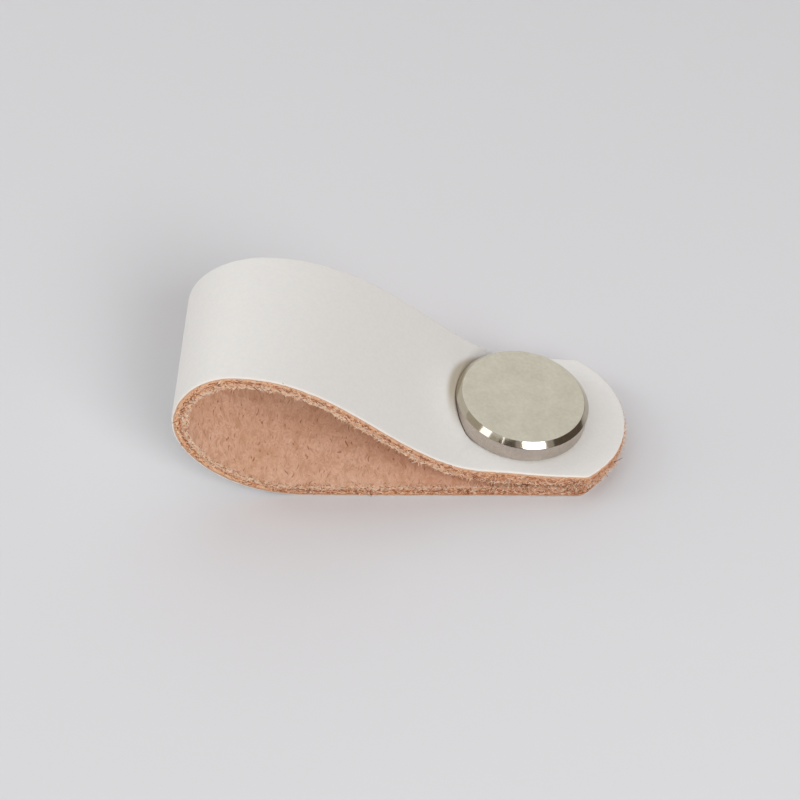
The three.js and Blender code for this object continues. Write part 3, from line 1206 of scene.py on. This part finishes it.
tree, shader = open_material("cut edge", roughness=0.85, specular=0.25)
depth_here = attribute(tree, "depth")
place = combine(tree, attribute(tree, "run"), times(tree, depth_here, leather))
wander = marks(tree, place, (500, 900, 1), 0.3, 0.7)["Noise"]
shifted_depth = calculate(tree, "ADD", depth_here, band_shift)
band_depth = calculate(tree, "MULTIPLY_ADD", wander, band_wander, shifted_depth)
below_coat = remap(tree, depth_here, *coat_ends)
light_streaks = marks(tree, place, (1300, 2600, 1), 0.51, 0.58)
dark_streaks = marks(tree, place, (1400, 2600, 5), 0.53, 0.6)
x, y, z = separate(tree, object_place(tree))
colour = paint_over(
    tree, ramp(tree, band_depth, bands),
    (times(tree, remap(tree, x, *seam_begins_x, 0, seam_share), below_coat), seam_tone),
    # Painted shade on the section near the table.
    (times(tree, remap(tree, z, *low_shade_z, low_shade_share, 0), below_coat), painted_low_shade_tone),
    (times(tree, light_streaks["Mask"], below_coat, streak_share), light_streak_tone),
    (times(tree, dark_streaks["Mask"], below_coat, streak_share), dark_streak_tone),
)
streak_height = times(tree, light_streaks["Noise"], below_coat)
feed(shader, Base_Color=colour, Normal=bump(tree, streak_height, 1, 0.3 * mm))

# %% [markdown]
# The flesh side is raw and napped, like the back of a suede belt. Its tan is mottled in soft
# clouds, with blotches, nap and short dark hairs over them, most of them across the strap. A second
# noise bends the place that they are read from, so that they don't all point the same way. Where
# the loop narrows a painted shade makes the tan darker and redder, and along the border it breaks up
# into pale crumbs and pits.

# %% Material: flesh side
cloud_tones = (233, 194, 166), (242, 207, 182)
# Each layer: marks per metre, where its mask begins and ends, detail, share, colour
flesh_layers = {
    "blotches": ((700, 380, 6), 0.42, 0.7, 3, 0.9, (212, 168, 137)),
    "nap": ((2600, 1500, 2), 0.3, 0.7, 3, 0.55, (210, 166, 136)),
    "fine hairs": ((3400, 900, 7), 0.56, 0.7, 1, 0.36, (180, 132, 102)),
    "hairs": ((1900, 520, 3), 0.63, 0.74, 1, 0.75, (156, 98, 70)),
}
# Painted shade for the narrowing inside of the loop.
painted_narrow_shade_tone = (212, 152, 120)
crumb_tone = (234, 206, 180)
pit_tone = (156, 104, 78)
narrow_shade_x, narrow_shade_share = (-8 * mm, 8 * mm), 0.3
border_reach = 0.15 * mm, burr_width
bend_size = 2.6 * mm
bends_per_metre = 350

tree, shader = open_material("flesh side", roughness=0.92, specular=0.2)
place = combine(tree, attribute(tree, "along"), attribute(tree, "across"))
bend = add_node(tree, "TexNoise", Vector=place, Scale=bends_per_metre, Detail=1).outputs["Color"]
bent_place = calculate_vector(tree, "MULTIPLY_ADD", bend, (bend_size, bend_size, 0), place)
clouds = marks(tree, place, (110, 140, 1), 0.3, 0.7)["Mask"]
colour = mix_colour(tree, clouds, *cloud_tones)
for name, (per_metre, low, high, detail, share, over) in flesh_layers.items():
    layer = marks(tree, bent_place, per_metre, low, high, detail)
    colour = mix_colour(tree, times(tree, layer["Mask"], share), colour, over)
    if name == "nap":
        nap_bump = bump(tree, layer["Noise"], 0.45, 0.08 * mm)
x, y, z = separate(tree, object_place(tree))
border = remap(tree, attribute(tree, "from_outline"), *border_reach, 1, 0)
crumbs = marks(tree, place, (2000, 2000, 4), 0.46, 0.58)["Mask"]
pits = marks(tree, place, (1800, 1800, 8), 0.54, 0.64)["Mask"]
colour = paint_over(
    tree, colour,
    # Painted shade, darker and redder towards the narrow inside of the loop.
    (remap(tree, x, *narrow_shade_x, 0, narrow_shade_share), painted_narrow_shade_tone),
    (times(tree, crumbs, border), crumb_tone),
    (times(tree, pits, border), pit_tone),
)
feed(shader, Base_Color=colour, Normal=nap_bump)

# %% [markdown]
# The loose fibres run from the dark tan of the hide to nearly white. Each one carries its tone as
# an attribute, so a single colour ramp gives all of them their colours.

# %% Material: loose fibres
fibre_tones = [
    (0.05, (146, 84, 58)),
    (0.35, (219, 157, 117)),
    (0.60, (239, 190, 151)),
    (0.80, (243, 211, 181)),
    (1.00, (248, 231, 211)),
]
tree, shader = open_material("loose fibres", roughness=0.8, specular=0.25)
feed(shader, Base_Color=ramp(tree, attribute(tree, "tone"), fibre_tones))
for piece in (cut_fibres, burr_fibres):
    piece.data.materials.append(bpy.data.materials["loose fibres"])

# %% [markdown]
# Turning leaves fine rings round the button's own axis, and blasting a fine grain and soft clouds.
# A Mapping node first carries Object coordinates into the button's lean. The radius then makes the
# rings of the flat faces, and the height those of the walls.

# %% Group: turning marks
turning_marks, turn_in, turn_out = open_group(
    "turning marks",
    {"Place": (0, 0, 0), "Rings Per Metre": 9000, "Rings Per Height": 0},
    ("Rings", "Cloud", "Grain"),
)
lathe_place = add_node(turning_marks, "Mapping", {"vector_type": "TEXTURE"}, turn_in["Place"],
                       button_seat, (0, button_lean, 0)).outputs[0]
x, y, height = separate(turning_marks, lathe_place)
radius = calculate_vector(turning_marks, "LENGTH", combine(turning_marks, x, y), output="Value")
by_radius = times(turning_marks, radius, turn_in["Rings Per Metre"])
ring_place = calculate(turning_marks, "MULTIPLY_ADD", height, turn_in["Rings Per Height"], by_radius)
rings = add_node(turning_marks, "TexNoise", {"noise_dimensions": "1D"}, W=ring_place, Scale=1, Detail=2)
cloud = add_node(turning_marks, "TexNoise", Vector=lathe_place, Scale=260, Detail=4)
fine_grain = add_node(turning_marks, "TexNoise", Vector=lathe_place, Scale=1500, Detail=3)
feed(turn_out, Rings=rings.outputs[0], Cloud=cloud.outputs[0], Grain=fine_grain.outputs[0])

# %% [markdown]
# The steel is warm in tone. The top is satin, the wall is turned and a little duller, and the
# chamfer is polished. All three are the same metal, so one function makes them from their colours,
# their roughness and their rings.

# %% Materials: satin, turned and polished steel
rings_per_metre = 9000
ring_height = 0.02 * mm
cloud_range = 0.3, 0.7
shine_range = 0.35, 0.65


def steel(name, colours, roughness, by_radius, by_height, ring_strength):
    """Turned steel. colours and roughness each give the two values that it wanders between."""
    tree, shader = open_material(name, roughness[0], metallic=1)
    lines = place_group(tree, turning_marks, Place=object_place(tree),
                        Rings_Per_Metre=by_radius, Rings_Per_Height=by_height)
    cloudy = mix_colour(tree, remap(tree, lines["Cloud"], *cloud_range, kind="LINEAR"), *colours)
    grained = mix_colour(tree, remap(tree, lines["Grain"], *cloud_range, kind="LINEAR"), *colours[::-1])
    feed(shader, Base_Color=mix_colour(tree, 0.5, cloudy, grained),
         Roughness=remap(tree, lines["Cloud"], *shine_range, *roughness, "LINEAR"),
         Normal=bump(tree, lines["Rings"], ring_strength, ring_height))
    button.data.materials.append(bpy.data.materials[name])


steel("satin steel", ((235, 229, 211), (217, 211, 193)), (0.33, 0.41), rings_per_metre, 0, 0.05)
steel("turned steel", ((207, 196, 187), (190, 179, 169)), (0.24, 0.34), 0, rings_per_metre, 0.5)
steel("polished steel", ((203, 196, 180), (196, 188, 171)), (0.075, 0.11), rings_per_metre, 0, 0.03)

# %% [markdown]
# Each face of the button takes its finish from its tilt against the button's axis: flat faces are
# satin, round walls are turned, and the slanted faces near the top are the polished chamfer.

# %% Give each face of the button its finish
satin, turned, polished = 0, 1, 2
wall_tilt, flat_tilt = 0.3, 0.9


def finish_of(polygon):
    tilt = abs(polygon.normal.dot(button_axis))
    height = (Vector(polygon.center) - button_seat).dot(button_axis)
    if height > disc_thickness - disc_chamfer - edge_break and wall_tilt < tilt < 0.95:
        return polished
    return satin if tilt > flat_tilt else turned


for polygon in button.data.polygons:
    polygon.material_index = finish_of(polygon)
print("faces by finish", np.bincount([polygon.material_index for polygon in button.data.polygons]))

# %% [markdown]
# The pull lies on a plain pale floor with a slight gloss. The floor takes its soft shadow.

# %% Floor
floor_tone = (214, 214, 217)
deselect_all()
bpy.ops.mesh.primitive_plane_add(size=6, location=(0, 0, -0.02 * mm))
floor = made("floor")
tree, shader = open_material("pale floor", roughness=0.4, specular=0.4)
feed(shader, Base_Color=linear(*floor_tone))
floor.data.materials.append(bpy.data.materials["pale floor"])

# %% [markdown]
# The room is lit the way small products are. A pale world gives the even part of the light. The key
# is a soft lamp in front to the right, and its shadow falls to the back left; a wide, weak halo
# round it softens the ends of its reflection. A small lamp stands in front to the left, a thin
# strip between the two, and a lamp on the left fills the loop. All but the last show in the
# chamfer.

# %% World and lamps
world_strength = 0.73
white = (1, 1, 1)
cool = (0.88, 0.94, 1)
# Each lamp: azimuth and elevation, distance, size, power, colour
lamps = {
    "key": ((-59, 36), 0.9, (0.42, 0.42), 4.3, white),
    "halo": ((-57, 36), 0.92, (0.8, 0.42), 0.28, white),
    "small": ((-146, 43.5), 0.9, (0.22, 0.3), 0.37, cool),
    "strip": ((-111, 45.5), 0.9, (0.022, 0.3), 0.042, white),
    "left": ((176, 24), 1.0, (0.5, 0.5), 2.5, white),
}
button_top = button_seat + button_axis * disc_thickness

world = bpy.data.worlds.new("studio")
bpy.context.scene.world = world
world.use_nodes = True
feed(world.node_tree.nodes["Background"], (1, 1, 1, 1), world_strength)


def towards(azimuth, elevation):
    """A direction seen from the button. Azimuth 0 is +X and 90 is +Y."""
    azimuth, elevation = math.radians(azimuth), math.radians(elevation)
    flat_part = math.cos(elevation)
    return Vector((flat_part * math.cos(azimuth), flat_part * math.sin(azimuth), math.sin(elevation)))


for name, (direction, distance, size, power, tint) in lamps.items():
    lamp_data = bpy.data.lights.new(name, "AREA")
    lamp_data.shape = "RECTANGLE"
    lamp_data.size, lamp_data.size_y = size
    lamp_data.energy = power
    lamp_data.color = tint
    lamp = bpy.data.objects.new(name, lamp_data)
    lamp.location = button_top + towards(*direction) * distance
    lamp.rotation_euler = (-towards(*direction)).to_track_quat("-Z", "Y").to_euler()
    lamp.visible_camera = False
    lamp.visible_glossy = name != "left"
    bpy.context.collection.objects.link(lamp)

# %% [markdown]
# Polished steel is only as good as what it mirrors. Behind the lamps stands a round screen that the
# camera doesn't see: dark cloth in front, which gives the chamfer the dark stretches that make it
# look like metal, a grey card to the left and a dimmer one to the right.

# %% Screen of cloth and card
screen_radius = 1.3
screen_height = 1.34
screen_above_floor = 0.01
screen_from, screen_to = -192, 60
left_card_to, right_card_from = -118, 25
deselect_all()
bpy.ops.mesh.primitive_cylinder_add(vertices=120, radius=screen_radius, depth=screen_height,
                                    end_fill_type="NOTHING",
                                    location=(0, 0, screen_above_floor + screen_height / 2))
screen = made("dark_screen")
edit(screen)


def azimuth_of(point):
    """From -270 to 90 degrees, so that the screen's stretch is one run of numbers."""
    azimuth = math.degrees(math.atan2(point.y, point.x))
    return azimuth - 360 if azimuth > 90 else azimuth


select(screen, "faces", lambda face: not screen_from < azimuth_of(face.calc_center_median()) < screen_to)
bpy.ops.mesh.delete(type="FACE")
leave_edit()
for name, albedo in (("dark cloth", (0.19, 0.15, 0.12, 1)), ("grey card", (0.82, 0.76, 0.66, 1)),
                     ("dim card", (0.6, 0.55, 0.5, 1))):
    feed(open_material(name, roughness=1)[1], Base_Color=albedo)
    screen.data.materials.append(bpy.data.materials[name])
for polygon in screen.data.polygons:
    azimuth = azimuth_of(polygon.center)
    polygon.material_index = 1 if azimuth < left_card_to else 2 if azimuth > right_card_from else 0
screen.visible_camera = False

# %% [markdown]
# Each piece rides on the imported body, and the imported solids that the pieces replace are hidden.

bpy.context.scene.view_settings.view_transform = "Standard"
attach(strap, "root")
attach(cut_fibres, "root")
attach(burr_fibres, "root")
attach(button, "root")
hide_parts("strap")
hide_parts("button")
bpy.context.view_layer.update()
